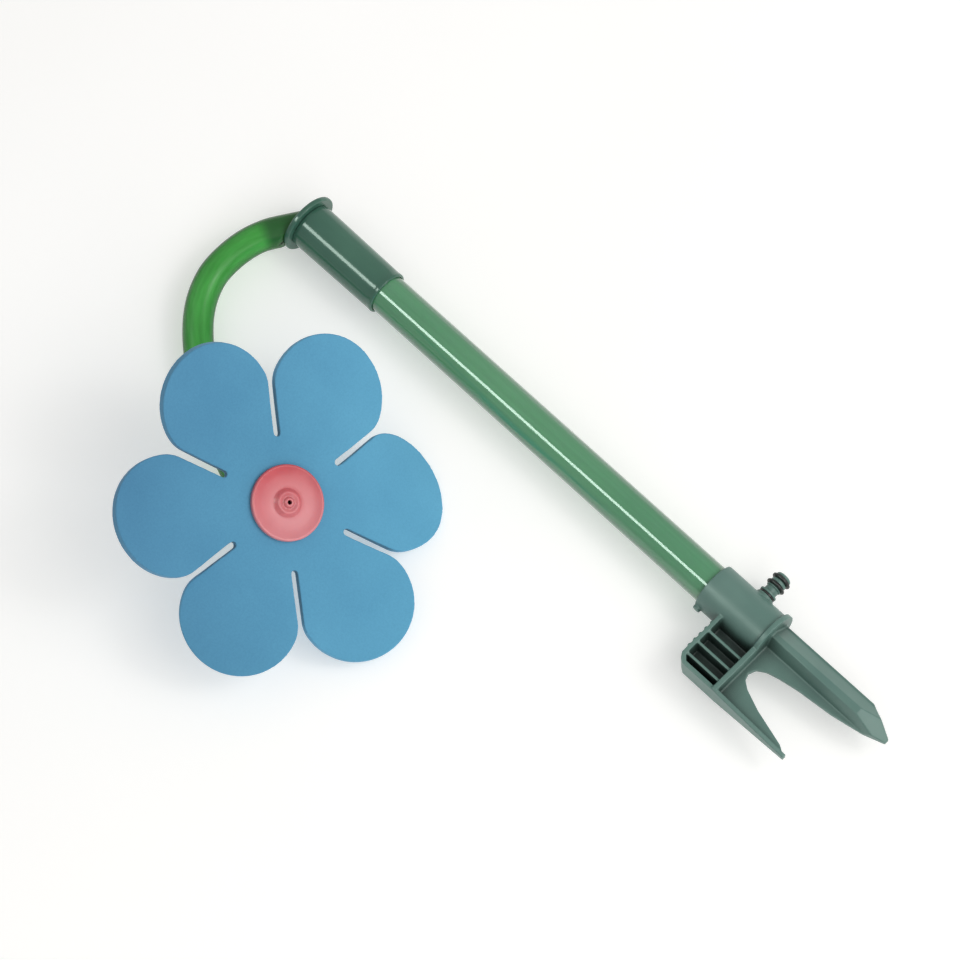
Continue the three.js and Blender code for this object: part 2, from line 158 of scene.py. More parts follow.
def turned_mesh(name, profile_mm, place, facets):
    """A solid of revolution about place's Z. profile_mm is a closed section of [radius, height] points.
    Points on the axis, radius 0, may only be the first and the last."""
    solid = bmesh.new()
    rings = []
    for step in range(facets):
        angle = 2 * math.pi * step / facets
        spoke = Vector((math.cos(angle), math.sin(angle), 0))
        rings.append([
            solid.verts.new(spoke * radius * MM + Vector((0, 0, height * MM)))
            for radius, height in profile_mm
        ])
    count = len(profile_mm)
    for step in range(facets):
        here, there = rings[step - 1], rings[step]
        for index in range(count):
            after = (index + 1) % count
            solid.faces.new((here[index], there[index], there[after], here[after]))
    bmesh.ops.remove_doubles(solid, verts=solid.verts, dist=0.001 * MM)
    bmesh.ops.dissolve_degenerate(solid, edges=solid.edges, dist=0.001 * MM)
    bmesh.ops.recalc_face_normals(solid, faces=solid.faces)
    solid.transform(place)
    mesh = bpy.data.meshes.new(name)
    solid.to_mesh(mesh)
    solid.free()
    return mesh


PROFILE_STEP_MM = 4


def divided(profile_mm):
    """The same section with extra points along its long sides, so that shading stays even along them."""
    points = []
    for index, start in enumerate(profile_mm):
        end = profile_mm[(index + 1) % len(profile_mm)]
        run = math.dist(start, end)
        pieces = max(1, round(run / PROFILE_STEP_MM))
        for step in range(pieces):
            share = step / pieces
            points.append((start[0] + (end[0] - start[0]) * share, start[1] + (end[1] - start[1]) * share))
    return points


def soften_edges(piece, width_mm):
    bevel = piece.modifiers.new("edges", "BEVEL")
    bevel.width = width_mm * MM
    bevel.segments = 3
    bevel.limit_method = "ANGLE"
    bevel.angle_limit = math.radians(28)
    bevel.use_clamp_overlap = True
    apply_modifiers(piece)


def turned(name, profile_mm, place, material, edge_mm, facets=96):
    mesh = turned_mesh(name, divided(profile_mm), place, facets)
    piece = add_object(name, mesh, material)
    soften_edges(piece, edge_mm)
    return piece


def upright(z=0.0):
    return Matrix.Translation((0, 0, z))


def along_x(z):
    """A place whose own +Z points along +X, at height z on the riser's axis."""
    return Matrix.Translation((0, 0, z)) @ Matrix.Rotation(math.pi / 2, 4, "Y")


def aimed(direction, place):
    turn = Vector((0, 0, 1)).rotation_difference(direction).to_matrix().to_4x4()
    return Matrix.Translation(place) @ turn


RING_AROUND = 72
RING_ACROSS = 20


def ring_mesh(name, centre_radius_mm, section_mm, place):
    """A rubber ring of round section. section_mm is the section's radius."""
    ring = bmesh.new()
    loops = []
    for step in range(RING_AROUND):
        angle = 2 * math.pi * step / RING_AROUND
        loop = []
        for part in range(RING_ACROSS):
            lean = 2 * math.pi * part / RING_ACROSS
            radius = (centre_radius_mm + section_mm * math.cos(lean)) * MM
            height = section_mm * math.sin(lean) * MM
            loop.append(ring.verts.new((radius * math.cos(angle), radius * math.sin(angle), height)))
        loops.append(loop)
    for step in range(RING_AROUND):
        here, there = loops[step - 1], loops[step]
        for part in range(RING_ACROSS):
            ring.faces.new((here[part - 1], there[part - 1], there[part], here[part]))
    bmesh.ops.recalc_face_normals(ring, faces=ring.faces)
    ring.transform(place)
    mesh = bpy.data.meshes.new(name)
    ring.to_mesh(mesh)
    ring.free()
    return mesh


# ---- node material tools ---------------------------------------------------------------------

# A Mix node has its own sockets for each kind of data. These are the ones for colours.
MIX_FACTOR = 0
MIX_FIRST = 6
MIX_SECOND = 7
MIX_RESULT = 2


class Shader:
    """A small helper that makes and joins shader nodes."""

    def __init__(self, name):
        self.material = bpy.data.materials.new(name)
        self.material.use_nodes = True
        self.tree = self.material.node_tree
        self.tree.nodes.clear()
        self.output = self.add("ShaderNodeOutputMaterial")
        self.surface = self.add("ShaderNodeBsdfPrincipled")
        self.join(self.surface, "BSDF", self.output, "Surface")
        self.coords = self.add("ShaderNodeTexCoord")

    def add(self, kind, **settings):
        node = self.tree.nodes.new(kind)
        for key, value in settings.items():
            setattr(node, key, value)
        return node

    def join(self, source, output, target, socket):
        self.tree.links.new(source.outputs[output], target.inputs[socket])

    def noise(self, scale, detail=4.0, roughness=0.5, stretch=None):
        texture = self.add("ShaderNodeTexNoise")
        texture.inputs["Scale"].default_value = scale
        texture.inputs["Detail"].default_value = detail
        texture.inputs["Roughness"].default_value = roughness
        if stretch:
            mapping = self.add("ShaderNodeMapping")
            mapping.inputs["Scale"].default_value = stretch
            self.join(self.coords, "Object", mapping, "Vector")
            self.join(mapping, "Vector", texture, "Vector")
        else:
            self.join(self.coords, "Object", texture, "Vector")
        return texture

    def ramp(self, source, output, stops):
        """A colour ramp. stops holds (place, colour)."""
        ramp = self.add("ShaderNodeValToRGB")
        elements = ramp.color_ramp.elements
        while len(elements) < len(stops):
            elements.new(0.5)
        for element, (place, colour) in zip(elements, stops):
            element.position = place
            element.color = colour
        self.join(source, output, ramp, "Fac")
        return ramp

    def mix(self, kind, factor, first, second):
        """Mixes two colours. Each of factor, first and second is a value or a (node, output) pair."""
        mixer = self.add("ShaderNodeMix", data_type="RGBA", blend_type=kind)
        for socket, source in ((MIX_FACTOR, factor), (MIX_FIRST, first), (MIX_SECOND, second)):
            if isinstance(source, tuple) and isinstance(source[0], bpy.types.Node):
                self.join(*source, mixer, socket)
            else:
                mixer.inputs[socket].default_value = source
        return mixer

    def paint(self, source, output):
        """Uses a node's colour as the surface's colour."""
        self.join(source, output, self.surface, "Base Color")

    def across_face(self, direction, reach_mm):
        """0 to 1 across the flower's face along direction, over reach_mm either side of its centre."""
        measure = self.add("ShaderNodeVectorMath", operation="DOT_PRODUCT")
        measure.inputs[1].default_value = direction
        self.join(self.coords, "Object", measure, 0)
        middle = FACE_CENTRE.dot(direction)
        spread = self.add("ShaderNodeMapRange")
        spread.inputs["From Min"].default_value = middle - reach_mm * MM
        spread.inputs["From Max"].default_value = middle + reach_mm * MM
        self.join(measure, "Value", spread, "Value")
        return spread

    def paint_corner_shade(self, source, output, distance_mm, deepest, darkest_at=0.25, clear_at=0.85):
        """Paints shade into a colour in corners and slots, where less light reaches, down to the share
        deepest.
        """
        corners = self.add("ShaderNodeAmbientOcclusion", samples=6, only_local=True)
        corners.inputs["Distance"].default_value = distance_mm * MM
        shade = self.ramp(corners, "AO", [
            (darkest_at, (deepest, deepest, deepest, 1)), (clear_at, (1, 1, 1, 1)),
        ])
        return self.mix("MULTIPLY", 1.0, (source, output), (shade, "Color"))

    def bump(self, source, output, strength, distance_mm):
        bump = self.add("ShaderNodeBump")
        bump.inputs["Strength"].default_value = strength
        bump.inputs["Distance"].default_value = distance_mm * MM
        self.join(source, output, bump, "Height")
        self.join(bump, "Normal", self.surface, "Normal")

    def set(self, **values):
        for name, value in values.items():
            self.surface.inputs[name.replace("_", " ")].default_value = value


def colour(red, green, blue):
    """A linear colour from 0-255 screen values."""
    def linear(value):
        value /= 255
        return value / 12.92 if value <= 0.04045 else ((value + 0.055) / 1.055) ** 2.4
    return (linear(red), linear(green), linear(blue), 1)


# ---- materials -------------------------------------------------------------------------------

# Directions in the flower's face towards which the foam and the cap are painted lighter: painted light, as
# if a lamp stood on that side.
FOAM_LIGHT_DIRECTION = FACE_ACROSS * 0.77 - FACE_UP * 0.64
CAP_LIGHT_DIRECTION = -FACE_ACROSS * 0.6 - FACE_UP * 0.8


def moulded_plastic(name, dark, light, roughness, grain=0.12, roughness_spread=0.08):
    """Opaque injection-moulded plastic: cloudy colour, faint flow marks and a fine satin grain, with
    painted shade in its corners and recesses.
    """
    shader = Shader(name)
    cloud = shader.noise(28.0, detail=5.0)
    flow = shader.noise(60.0, detail=2.0, stretch=(1.0, 1.0, 0.12))
    base = shader.ramp(cloud, "Fac", [(0.32, dark), (0.68, light)])
    streaks = shader.ramp(flow, "Fac", [(0.3, (0.93, 0.93, 0.93, 1)), (0.7, (1.04, 1.04, 1.04, 1))])
    tint = shader.mix("MULTIPLY", 1.0, (base, "Color"), (streaks, "Color"))
    # painted shade: the colour is darkened in corners and recesses
    corner_shaded = shader.paint_corner_shade(tint, MIX_RESULT, 13, 0.25, darkest_at=0.4, clear_at=0.93)
    shader.paint(corner_shaded, MIX_RESULT)
    patch = shader.noise(90.0, detail=3.0)
    gloss = shader.add("ShaderNodeMapRange")
    gloss.inputs["To Min"].default_value = roughness - roughness_spread
    gloss.inputs["To Max"].default_value = roughness + roughness_spread
    shader.join(patch, "Fac", gloss, "Value")
    shader.join(gloss, "Result", shader.surface, "Roughness")
    fine = shader.noise(2600.0, detail=2.0)
    shader.bump(fine, "Fac", grain, 0.08)
    shader.set(IOR=1.49)
    return shader.material


def black_rubber():
    shader = Shader("black_rubber")
    dust = shader.noise(700.0, detail=3.0)
    base = shader.ramp(dust, "Fac", [(0.45, colour(24, 28, 27)), (0.75, colour(52, 58, 56))])
    shader.paint(base, "Color")
    fine = shader.noise(3000.0)
    shader.bump(fine, "Fac", 0.15, 0.05)
    shader.set(Roughness=0.38, IOR=1.5)
    return shader.material


def spring_steel():
    shader = Shader("spring_steel")
    lines = shader.noise(900.0, detail=2.0, stretch=(0.05, 0.05, 6.0))
    base = shader.ramp(lines, "Fac", [(0.3, colour(150, 154, 158)), (0.7, colour(205, 208, 212))])
    shader.paint(base, "Color")
    shader.set(Metallic=1.0, Roughness=0.28)
    return shader.material


def riser_plastic():
    """Glossy, slightly see-through green tube. Its colour is painted by how squarely the wall faces the
    camera: paler where the wall is seen edge-on, darker just inside that, for light through and off the
    wall.
    """
    shader = Shader("riser_plastic")
    facing = shader.add("ShaderNodeLayerWeight")
    facing.inputs["Blend"].default_value = 0.5
    # painted light: paler edges and a darker band stand in for light through the wall
    body = shader.ramp(facing, "Facing", [
        (0.0, colour(95, 155, 117)), (0.35, colour(91, 150, 113)), (0.62, colour(82, 124, 99)),
        (0.86, colour(114, 148, 124)), (1.0, colour(156, 180, 162)),
    ])
    draw = shader.noise(420.0, detail=2.0, stretch=(1.0, 1.0, 0.01))
    lines = shader.ramp(draw, "Fac", [(0.3, (0.94, 0.95, 0.94, 1)), (0.7, (1.04, 1.05, 1.04, 1))])
    depth = shader.noise(22.0, detail=2.0, stretch=(1.0, 1.0, 0.35))
    patches = shader.ramp(depth, "Fac", [(0.35, (0.86, 0.93, 0.9, 1)), (0.65, (1.08, 1.08, 1.04, 1))])
    lined = shader.mix("MULTIPLY", 1.0, (body, "Color"), (lines, "Color"))
    tint = shader.mix("MULTIPLY", 1.0, (lined, MIX_RESULT), (patches, "Color"))
    shader.paint(tint, MIX_RESULT)
    shader.bump(draw, "Fac", 0.012, 0.05)
    shader.set(Roughness=0.1, IOR=1.5, Coat_Weight=0.5, Coat_Roughness=0.05)
    shader.set(Subsurface_Weight=0.2, Subsurface_Scale=3 * MM, Subsurface_Radius=(0.3, 1.0, 0.4))
    return shader.material


def hose_plastic():
    """Soft clear green hose with faint lengthwise streaks. The dark barbs in its ends show through."""
    shader = Shader("hose_plastic")
    # painted light: the colour is bright in the middle of the tube, where light shows through it, and dark
    # at its edges
    facing = shader.add("ShaderNodeLayerWeight")
    facing.inputs["Blend"].default_value = 0.5
    body = shader.ramp(facing, "Facing", [
        (0.0, colour(78, 172, 78)), (0.3, colour(74, 162, 75)), (0.6, colour(48, 124, 54)),
        (0.82, colour(26, 80, 38)), (1.0, colour(36, 80, 48)),
    ])
    grain = shader.add("ShaderNodeAttribute", attribute_name="hose_grain")
    streak = shader.add("ShaderNodeTexNoise")
    streak.inputs["Scale"].default_value = 2.2
    streak.inputs["Detail"].default_value = 3.0
    shader.join(grain, "Vector", streak, "Vector")
    streaks = shader.ramp(streak, "Fac", [(0.35, (0.8, 0.86, 0.8, 1)), (0.65, (1.12, 1.1, 1.12, 1))])
    streaked = shader.mix("MULTIPLY", 1.0, (body, "Color"), (streaks, "Color"))
    barb = shader.add("ShaderNodeAttribute", attribute_name="over_barb")
    over = shader.mix("MIX", (barb, "Fac"), (streaked, MIX_RESULT), colour(48, 104, 54))
    shader.paint(over, MIX_RESULT)
    shader.set(Roughness=0.26, IOR=1.33)
    shader.set(Subsurface_Weight=0.4, Subsurface_Scale=3 * MM, Subsurface_Radius=(0.35, 1.0, 0.35))
    return shader.material


def foam():
    """Closed-cell craft foam: matt sky blue with fine cells in its surface, painted lighter towards one
    side and darker towards the other as if lit from that side.
    """
    shader = Shader("blue_foam")
    cloud = shader.noise(18.0, detail=4.0)
    base = shader.ramp(cloud, "Fac", [(0.3, colour(82, 152, 194)), (0.7, colour(90, 162, 203))])
    # painted light: the foam is painted darker on one side of the face and lighter on the other
    foam_lit_side = shader.across_face(FOAM_LIGHT_DIRECTION, 95)
    foam_light_falloff = shader.ramp(foam_lit_side, "Result", [(0.0, (0.76, 0.74, 0.75, 1)), (1.0, (1.24, 1.2, 1.1, 1))])
    toned = shader.mix("MULTIPLY", 1.0, (base, "Color"), (foam_light_falloff, "Color"))
    cells = shader.noise(900.0, detail=3.0, roughness=0.65)
    specks = shader.ramp(cells, "Fac", [(0.35, (0.94, 0.95, 0.96, 1)), (0.62, (1.03, 1.03, 1.02, 1))])
    tint = shader.mix("MULTIPLY", 1.0, (toned, MIX_RESULT), (specks, "Color"))
    # painted shade: the colour is darkened in the slots and corners
    corner_shaded = shader.paint_corner_shade(tint, MIX_RESULT, 6, 0.2)
    shader.paint(corner_shaded, MIX_RESULT)
    shader.bump(cells, "Fac", 0.2, 0.25)
    shader.set(Roughness=0.82, IOR=1.35, Sheen_Weight=0.12, Sheen_Roughness=0.6)
    return shader.material


def cap_plastic():
    """Satin coral plastic with fine turning marks round its middle, painted paler towards one side as if
    lit from there.
    """
    shader = Shader("coral_plastic")
    # painted light: the cap is painted darker on one side and paler on the other
    cap_lit_side = shader.across_face(CAP_LIGHT_DIRECTION, 20)
    base = shader.ramp(cap_lit_side, "Result", [(0.0, colour(200, 82, 90)), (1.0, colour(226, 142, 148))])
    cloud = shader.noise(70.0, detail=3.0)
    clouds = shader.ramp(cloud, "Fac", [(0.3, (0.95, 0.93, 0.94, 1)), (0.7, (1.04, 1.05, 1.05, 1))])
    tint = shader.mix("MULTIPLY", 1.0, (base, "Color"), (clouds, "Color"))
    # painted shade: the colour is darkened in the corners
    corner_shaded = shader.paint_corner_shade(tint, MIX_RESULT, 3, 0.35)
    shader.paint(corner_shaded, MIX_RESULT)
    fine = shader.noise(1800.0)
    shader.bump(fine, "Fac", 0.1, 0.06)
    shader.set(Roughness=0.34, IOR=1.5, Subsurface_Weight=0.1, Subsurface_Scale=2 * MM)
    return shader.material


STAKE_PLASTIC = moulded_plastic("stake_plastic", colour(88, 122, 114), colour(101, 134, 125), 0.42)
SOCKET_PLASTIC = moulded_plastic(
    "socket_plastic", colour(63, 105, 89), colour(72, 115, 97), 0.14, grain=0.04, roughness_spread=0.02)
WASHER_PLASTIC = moulded_plastic("washer_plastic", colour(214, 214, 206), colour(230, 230, 224), 0.45)
RISER_PLASTIC = riser_plastic()
HOSE_PLASTIC = hose_plastic()
FOAM = foam()
CAP_PLASTIC = cap_plastic()
BLACK_RUBBER = black_rubber()
SPRING_STEEL = spring_steel()


# ---- stake ------------------------------------------------------------------------------------

def build_stake():
    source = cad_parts["stake"].data.copy()
    stake = skinned("stake_moulding", source, STAKE_PLASTIC, voxel_mm=0.45, passes=3)
    settle(stake, BASE, "stake")


# ---- hose inlet ---------------------------------------------------------------------------------

def build_inlet():
    """The side nipple: spigot, shoulder, neck and two grooves with a rubber ring in each."""
    low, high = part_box("inlet_nipple")
    axis_height = middle_of("inlet_nipple").z
    root = low.x / MM
    tip = high.x / MM
    bore = 2.2
    spigot = 3.5
    shoulder = 5.6
    neck = 4.2
    groove = 4.1
    land = 4.9
    profile = [
        (bore, root), (spigot, root), (spigot, 17.9), (shoulder, 17.9), (shoulder, 19.1), (neck, 19.1),
        (neck, 22.3), (land, 22.8), (land, 23.4), (groove, 23.4), (groove, 26.2), (land, 26.2),
        (land, 28.1), (groove, 28.1), (groove, 30.9), (land, 30.9), (land, tip - 0.8), (groove, tip),
        (bore, tip),
    ]
    nipple = turned("inlet_barb", profile, along_x(axis_height), STAKE_PLASTIC, 0.15, 64)
    settle(nipple, BASE, "inlet_nipple")
    ring_radius = 5.25
    ring_section = 1.05
    for node in ("inlet_o_ring_inner", "inlet_o_ring_outer"):
        place = along_x(axis_height) @ upright(middle_of(node).x)
        mesh = ring_mesh(node, ring_radius, ring_section, place)
        ring = add_object(node + "_fine", mesh, BLACK_RUBBER)
        settle(ring, BASE, node)


# ---- riser and socket ---------------------------------------------------------------------------

def build_riser():
    low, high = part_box("riser_pole")
    outer = high.x / MM
    wall = 2.2
    bottom, top = low.z / MM, high.z / MM
    profile = [(outer - wall, bottom), (outer, bottom), (outer, top), (outer - wall, top)]
    tube = turned("riser_tube", profile, upright(), RISER_PLASTIC, 0.4, 128)
    settle(tube, BASE, "riser_pole")


def build_socket():
    """The sleeve over the pole's top, with a low band round its mouth and a seat for the thrust washer."""
    low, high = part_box("top_socket")
    washer_low, washer_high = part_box("thrust_washer")
    bottom, top = low.z / MM, high.z / MM
    outer = high.x / MM
    shelf = washer_low.z / MM - GAP_MM
    lip_bore = washer_high.x / MM + GAP_MM
    pole_bore = 12.75
    bearing_bore = 9.3
    shoulder = 442
    band = 14.3
    profile = [
        (pole_bore, bottom), (band - 0.4, bottom), (band, bottom + 0.6), (band, bottom + 2.0),
        (band - 0.15, bottom + 2.4), (outer, top), (lip_bore, top), (lip_bore, shelf),
        (bearing_bore, shelf), (bearing_bore, shoulder), (pole_bore, shoulder),
    ]
    socket = turned("socket_moulding", profile, upright(), SOCKET_PLASTIC, 0.3, 128)
    settle(socket, BASE, "top_socket")


# ---- hose ---------------------------------------------------------------------------------------

HOSE_OUTER_MM = 9.4
HOSE_INNER_MM = 6.2
HOSE_AROUND = 56  # corners round the tube
HOSE_STEP_MM = 2
BORE_RAYS = 16
BORE_REACH_MM = 7.5
LOOK_BACK = 5  # the centre line's direction is taken over this many of its points
ROOT_STEPS = 5  # the centre line runs on this many steps under the flange's top, where it is trimmed
ROOT_RUN_MM = ROOT_STEPS * HOSE_STEP_MM
ROOT_REGION_MM = -30  # only the part of the hose beyond this x, near the riser's axis, is trimmed
SPINE_PASSES = 12
STEM_BARB_MM = 15  # how far the nozzle's barb reaches into the hose
ELBOW_BARB_MM = 31  # how far from the flange the swivel's barb stretches and darkens the hose
BARB_SWELL_MM = 0.3  # how much the hose is stretched over a barb
BARB_FADE_MM = 9  # the length over which the stretch and the darker colour fade out past a barb
GRAIN_LENGTH_MM = 60  # how long the streaks in the hose are drawn


def hose_wall_tree():
    points, faces = [], []
    for node in ("hose_lower", "hose_upper"):
        start = len(points)
        points += node_points(node)
        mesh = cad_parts[node].data
        faces += [[start + index for index in face.vertices] for face in mesh.polygons]
    return BVHTree.FromPolygons(points, faces)


def bore_offsets(tree, place, direction):
    """Rays out to the wall of the bore, all round place."""
    side = direction.orthogonal().normalized()
    other = direction.cross(side)
    offsets = []
    for turn in range(BORE_RAYS):
        angle = 2 * math.pi * turn / BORE_RAYS
        ray = side * math.cos(angle) + other * math.sin(angle)
        hit = tree.ray_cast(place, ray, BORE_REACH_MM * MM)[0]
        if hit is not None:
            offsets.append(hit - place)
    return offsets


def hose_spine():
    """The hose's centre line, followed through its bore from the nozzle's end to the swivel."""
    tree = hose_wall_tree()
    level = height_along("hose_upper", FACE_NORMAL)
    place = FACE_CENTRE + FACE_NORMAL * (level - FACE_LEVEL)
    direction = -FACE_NORMAL
    step = HOSE_STEP_MM * MM
    spine = [place]
    while True:
        place = place + direction * step
        offsets = bore_offsets(tree, place, direction)
        if not offsets:
            break
        if len(offsets) == BORE_RAYS:
            place = place + 2 * sum(offsets, Vector()) / BORE_RAYS
        spine.append(place)
        behind = spine[-LOOK_BACK:][0]
        direction = (place - behind).normalized()
    root_run = [spine[-1] + direction * step * count for count in range(1, ROOT_STEPS + 1)]
    return relaxed(spine + root_run, SPINE_PASSES)


def relaxed(points, passes):
    """Points of a line after averaging each with its neighbours. The ends stay."""
    for _ in range(passes):
        middles = [
            (points[index - 1] + 2 * points[index] + points[index + 1]) / 4
            for index in range(1, len(points) - 1)
        ]
        points = [points[0], *middles, points[-1]]
    return points


def smooth_step(value):
    value = min(1.0, max(0.0, value))
    return value * value * (3 - 2 * value)


def hose_frames(spine):
    """For each point of the spine: the point, two directions across it and the length up to it."""
    frames = []
    side = (spine[1] - spine[0]).orthogonal().normalized()
    travelled = 0.0
    for index, place in enumerate(spine):
        ahead = spine[min(index + 1, len(spine) - 1)]
        behind = spine[max(index - 1, 0)]
        direction = (ahead - behind).normalized()
        side = (side - direction * side.dot(direction)).normalized()
        frames.append((place, side, direction.cross(side), travelled))
        travelled += (ahead - place).length
    return frames


def barb_share(from_stem_mm, from_root_mm):
    """1 over the barbs in the hose's two ends, and 0 between them."""
    stem_part = smooth_step((STEM_BARB_MM - from_stem_mm) / BARB_FADE_MM + 0.5)
    elbow_part = smooth_step((ELBOW_BARB_MM - from_root_mm) / BARB_FADE_MM + 0.5)
    return max(stem_part, elbow_part)


def hose_mesh(spine):
    """A double-walled tube along the spine. over_barb holds barb_share, and hose_grain runs round and
    along the tube."""
    tube = bmesh.new()
    over_barb = tube.verts.layers.float.new("over_barb")
    grain = tube.verts.layers.float_vector.new("hose_grain")
    walls = {HOSE_OUTER_MM: [], HOSE_INNER_MM: []}
    frames = hose_frames(spine)
    length = frames[-1][-1]
    for place, side, other, travelled in frames:
        share = barb_share(travelled / MM, (length - travelled) / MM - ROOT_RUN_MM)
        for radius_mm, rings in walls.items():
            loop = []
            for step in range(HOSE_AROUND):
                angle = 2 * math.pi * step / HOSE_AROUND
                spoke = side * math.cos(angle) + other * math.sin(angle)
                vertex = tube.verts.new(place + spoke * (radius_mm + BARB_SWELL_MM * share) * MM)
                vertex[over_barb] = share
                vertex[grain] = (math.cos(angle), math.sin(angle), travelled / (GRAIN_LENGTH_MM * MM))
                loop.append(vertex)
            rings.append(loop)
    join_walls(tube, walls[HOSE_OUTER_MM], walls[HOSE_INNER_MM])
    trim_flat(tube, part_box("hose_lower")[0].z)
    bmesh.ops.recalc_face_normals(tube, faces=tube.faces)
    mesh = bpy.data.meshes.new("hose")
    tube.to_mesh(mesh)
    tube.free()
    return mesh


def join_walls(tube, outer, inner):
    """Faces along both walls, and the flat ring that closes the nozzle's end."""
    for rings in (outer, inner):
        for here, there in zip(rings, rings[1:]):
            for step in range(HOSE_AROUND):
                tube.faces.new((here[step - 1], there[step - 1], there[step], here[step]))
    for step in range(HOSE_AROUND):
        tube.faces.new((outer[0][step - 1], outer[0][step], inner[0][step], inner[0][step - 1]))


def trim_flat(tube, level):
    """Cuts the tube's swivel end level with the flange and closes the cut with a flat ring."""
    faces = [face for face in tube.faces if face.calc_center_median().x > ROOT_REGION_MM * MM]
    edges = {edge for face in faces for edge in face.edges}
    verts = {vert for face in faces for vert in face.verts}
    bmesh.ops.bisect_plane(
        tube, geom=[*verts, *edges, *faces], plane_co=(0, 0, level), plane_no=(0, 0, 1), clear_inner=True)
    rim = [edge for edge in tube.edges if edge.is_boundary]
    bmesh.ops.bridge_loops(tube, edges=rim)


def build_hose():
    spine = hose_spine()
    hose = add_object("hose", hose_mesh(spine), HOSE_PLASTIC)
    smooth_shade(hose.data)
    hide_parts("hose_lower", "hose_upper")
    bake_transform(hose)
    return spine


# ---- swivel -------------------------------------------------------------------------------------

ROOT_STRAIGHT = 12  # the last points of the hose's centre line, which give the barb its direction


def joined(first, second):
    """Both meshes as one, kept in first."""
    both = bmesh.new()
    both.from_mesh(first)
    both.from_mesh(second)
    both.to_mesh(first)
    both.free()
    bpy.data.meshes.remove(second)
    return first


def build_swivel(spine):
    """The swivel: a spigot with grooves for its snap ring and its seal, a flange and a leaning barb."""
    low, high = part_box("swivel_elbow")
    flange_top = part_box("hose_lower")[0].z / MM - GAP_MM
    flange_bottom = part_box("top_socket")[1].z / MM + GAP_MM
    radius = high.x / MM
    bottom = low.z / MM
    bore = 4.5
    spigot = 9
    snap_groove, snap_low, snap_high = 7.8, 439.4, 441.8
    seal_groove, seal_low, seal_high = 6.8, 450, 452.6
    core = [
        (bore, bottom), (spigot - 0.5, bottom), (spigot, bottom + 0.6), (spigot, snap_low),
        (snap_groove, snap_low), (snap_groove, snap_high), (spigot, snap_high), (spigot, seal_low),
        (seal_groove, seal_low), (seal_groove, seal_high), (spigot, seal_high), (spigot, flange_bottom),
        (radius - 0.6, flange_bottom), (radius, flange_bottom + 0.6), (radius, flange_top - 0.9),
        (radius - 0.9, flange_top), (bore, flange_top),
    ]
    lean = (spine[-ROOT_STRAIGHT] - spine[-2]).normalized()
    root = spine[-1] + lean * (flange_top * MM - spine[-1].z) / lean.z
    barb_bore, neck, crest, valley = 3.8, 5.3, 5.8, 5.2
    barb = [
        (barb_bore, -4), (neck, -4), (neck, 7), (crest, 7.5), (valley, 11), (crest, 11.5),
        (valley, 15), (crest, 15.5), (4.9, 20), (barb_bore, 20),
    ]
    core_mesh = turned_mesh("swivel_core", core, upright(), 128)
    barb_mesh = turned_mesh("swivel_barb", barb, aimed(lean, root), 64)
    mesh = joined(core_mesh, barb_mesh)
    swivel = skinned("swivel_moulding", mesh, SOCKET_PLASTIC, voxel_mm=0.4, passes=3)
    settle(swivel, SWIVEL, "swivel_elbow")


# ---- flower -------------------------------------------------------------------------------------

PETALS = 6
PETAL_ROLL = math.radians(88.5)  # direction of the first petal in the face's plane
LOBE_RADIUS_MM = 35.3
LOBE_DISTANCE_MM = 69.7
SLOT_HALF_WIDTH_MM = 1.9
SLOT_INNER_MM = 40.8
HUB_HOLE_MM = 7.3
BEND_FROM_MM = 36  # petals are flat inside this distance from the centre
PETAL_LENGTH_MM = 68
NECK_RADIUS_MM = 20  # rounding where a lobe runs into its slot
LOBE_STEPS = 48
ROUNDING_STEPS = 10  # for the necks and the slots' ends

# How far each petal curls back and how far it twists, in degrees, going round from the top.
PETAL_SET = [(-19, -2), (-9, -5), (17, -14), (-10, -7), (22, 12), (1, -7)]


def arc(centre, radius, start, end, steps):
    turns = [start + (end - start) * step / steps for step in range(steps + 1)]
    return [centre + Vector((math.cos(turn), math.sin(turn))) * radius for turn in turns]


def flower_outline():
    """The edge of the flat foam sheet: a round lobe for each petal, then the slot to the next one."""
    half_pitch = math.pi / PETALS
    drop = LOBE_DISTANCE_MM * math.sin(half_pitch) - SLOT_HALF_WIDTH_MM - NECK_RADIUS_MM
    offset = LOBE_RADIUS_MM - NECK_RADIUS_MM
    shift = math.sqrt(offset ** 2 - drop ** 2)
    lobe_end = half_pitch + math.atan2(drop, shift)
    neck_end = half_pitch + math.pi / 2
    outline = []
    for petal in range(PETALS):
        axis = PETAL_ROLL + petal * 2 * half_pitch
        centre = Vector((math.cos(axis), math.sin(axis))) * LOBE_DISTANCE_MM
        first_neck = centre + Vector((math.cos(axis - lobe_end), math.sin(axis - lobe_end))) * offset
        last_neck = centre + Vector((math.cos(axis + lobe_end), math.sin(axis + lobe_end))) * offset
        outline += arc(first_neck, NECK_RADIUS_MM, axis - neck_end, axis - lobe_end, ROUNDING_STEPS)
        outline += arc(centre, LOBE_RADIUS_MM, axis - lobe_end, axis + lobe_end, LOBE_STEPS)[1:-1]
        outline += arc(last_neck, NECK_RADIUS_MM, axis + lobe_end, axis + neck_end, ROUNDING_STEPS)
        slot = axis + half_pitch
        slot_end = Vector((math.cos(slot), math.sin(slot))) * SLOT_INNER_MM
        side = slot - math.pi / 2
        outline += arc(slot_end, SLOT_HALF_WIDTH_MM, side, side - math.pi, ROUNDING_STEPS)
    return outline


def hub_outline():
    steps = 64
    turns = [2 * math.pi * step / steps for step in range(steps)]
    return [Vector((math.cos(turn), math.sin(turn))) * HUB_HOLE_MM for turn in turns]


